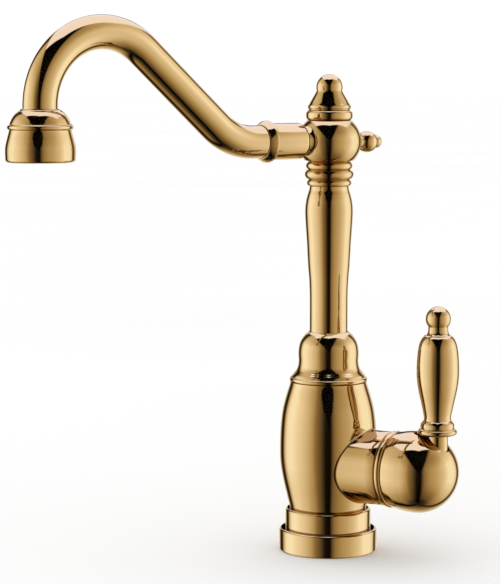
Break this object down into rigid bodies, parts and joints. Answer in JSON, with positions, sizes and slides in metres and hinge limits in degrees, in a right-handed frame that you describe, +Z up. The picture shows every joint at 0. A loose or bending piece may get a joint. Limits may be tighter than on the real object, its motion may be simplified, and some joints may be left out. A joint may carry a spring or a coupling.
{
  "type": "single lever mixer tap",
  "caption": "Deck-mounted single-lever mixer tap in polished gold: vase body, tilting and turning side lever, slim column and a swivelling S-shaped spout with an aerator.",
  "frame": {"origin": "centre of the base on the deck, on the axis of the column and the swivel", "axes": "+Z up along the column; +X along the cartridge housing, towards the lever; the spout is stored 250 degrees about +Z, forwards and 20 degrees to the -X side"},
  "size_m": [0.1725, 0.2424, 0.3153],
  "materials": {
    "polished_gold": "mirror-polished gold PVD on brass",
    "raw_brass": "machined, unplated",
    "steel": "machined stainless",
    "ceramic": "lapped alumina ceramic",
    "white_plastic": "moulded acetal",
    "black_rubber": "nitrile rubber"
  },
  "bodies": {
    "fixed_body": {"deck_gasket": "black_rubber", "base_flange": "polished_gold", "base_collar": "polished_gold", "valve_body": "polished_gold", "shoulder_ring": "polished_gold", "shoulder_cap": "polished_gold", "column_seal": "black_rubber", "column": "polished_gold", "neck_collar": "polished_gold", "neck_screw": "steel", "cartridge_base": "white_plastic", "cartridge_seals": "black_rubber", "fixed_disc": "ceramic", "cartridge_shell": "white_plastic", "cartridge_nut": "raw_brass", "trim_ring": "polished_gold", "bonnet_slip_ring": "white_plastic"},
    "spout": {"hub_stem": "raw_brass", "swivel_o_rings": "black_rubber", "swivel_slip_ring": "white_plastic", "spout_hub": "polished_gold", "finial_ring": "polished_gold", "finial": "polished_gold", "rear_knob": "polished_gold", "spout_arm": "polished_gold", "arm_ferrule": "polished_gold", "spout_tube": "polished_gold", "aerator_housing": "polished_gold", "aerator_washer": "black_rubber", "aerator_cage": "polished_gold", "aerator_insert": "white_plastic"},
    "bonnet": {"bonnet_dome": "polished_gold", "spindle_guide": "white_plastic", "pivot_pin": "steel"},
    "lever": {"spindle": "steel", "lever_hub": "raw_brass", "lever_set_screw": "steel", "lever_stem": "polished_gold", "lever_collar": "polished_gold", "lever_grip": "polished_gold", "lever_ball": "polished_gold"},
    "ceramic_disc": {"moving_disc": "ceramic", "disc_carrier": "white_plastic"}
  },
  "joints": [
    {"name": "spout_swivel", "type": "hinge", "parent": "fixed_body", "child": "spout", "pos_m": [0, 0, 0.2444], "axis": [0, 0, 1], "continuous": true},
    {"name": "temperature_turn", "type": "hinge", "parent": "fixed_body", "child": "bonnet", "pos_m": [0.061, 0, 0.0528], "axis": [1, 0, 0], "range_deg": [-45, 45]},
    {"name": "flow_tilt", "type": "hinge", "parent": "bonnet", "child": "lever", "pos_m": [0.039, 0, 0.0528], "axis": [0, -1, 0], "range_deg": [0, 25]},
    {"name": "disc_slide", "type": "slide", "parent": "bonnet", "child": "ceramic_disc", "axis": [0, 0, -1], "range_m": [0, 0.0044]}
  ],
  "couplings": [
    {"joint": "disc_slide", "follows": "flow_tilt", "m_per_rad": 0.0098}
  ]
}
